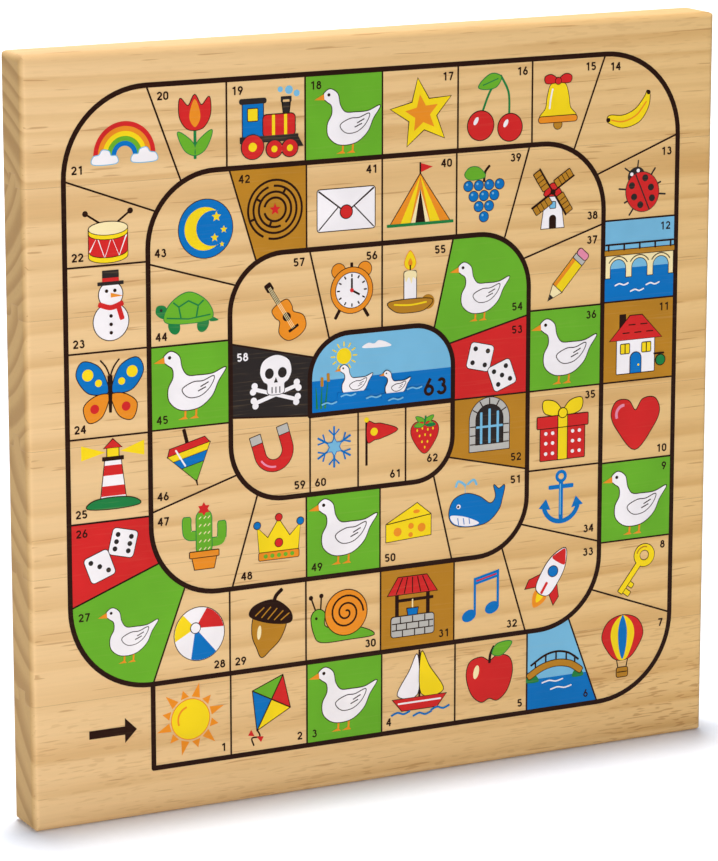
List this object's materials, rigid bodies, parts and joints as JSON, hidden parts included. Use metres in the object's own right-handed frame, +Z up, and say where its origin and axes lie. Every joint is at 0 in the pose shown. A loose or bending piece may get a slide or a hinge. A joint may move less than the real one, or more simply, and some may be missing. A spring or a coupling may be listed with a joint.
{
  "type": "reversible game board",
  "caption": "Square pine board glued up from tongued staves, printed with a spiral goose race track on one face and a ludo cross on the other.",
  "frame": {"origin": "middle of the lower edge that the board stands on, halfway through its thickness", "axes": "+X to the right seen from the goose side, -Y out of the goose side, +Y out of the ludo side, +Z up"},
  "size_m": [0.3, 0.0202, 0.3],
  "materials": {
    "pine": "satin clear varnish over edge-glued pine",
    "wood_glue": "dried wood glue",
    "ink_brown": "printed ink, satin",
    "ink_white": "printed ink, satin",
    "ink_green": "printed ink, satin",
    "ink_red": "printed ink, satin",
    "ink_ochre": "printed ink, satin",
    "ink_black": "printed ink, satin",
    "ink_sky": "printed ink, satin",
    "ink_blue": "printed ink, satin",
    "ink_yellow": "printed ink, satin"
  },
  "bodies": {
    "root": {"stave_1": "pine", "stave_2": "pine", "stave_3": "pine", "stave_4": "pine", "stave_5": "pine", "stave_6": "pine", "glue_line_1": "wood_glue", "glue_line_2": "wood_glue", "glue_line_3": "wood_glue", "glue_line_4": "wood_glue", "glue_line_5": "wood_glue", "track_line": "ink_brown", "cell_dividers": "ink_brown", "cell_numbers": "ink_brown", "start_arrow": "ink_brown", "black_cell_number": "ink_white", "green_cells": "ink_green", "red_cells": "ink_red", "ochre_cells": "ink_ochre", "black_cell": "ink_black", "sky_fields": "ink_sky", "water_fields": "ink_blue", "ludo_lines": "ink_brown", "ludo_red": "ink_red", "ludo_green": "ink_green", "ludo_yellow": "ink_yellow", "ludo_blue": "ink_blue"}
  },
  "joints": []
}
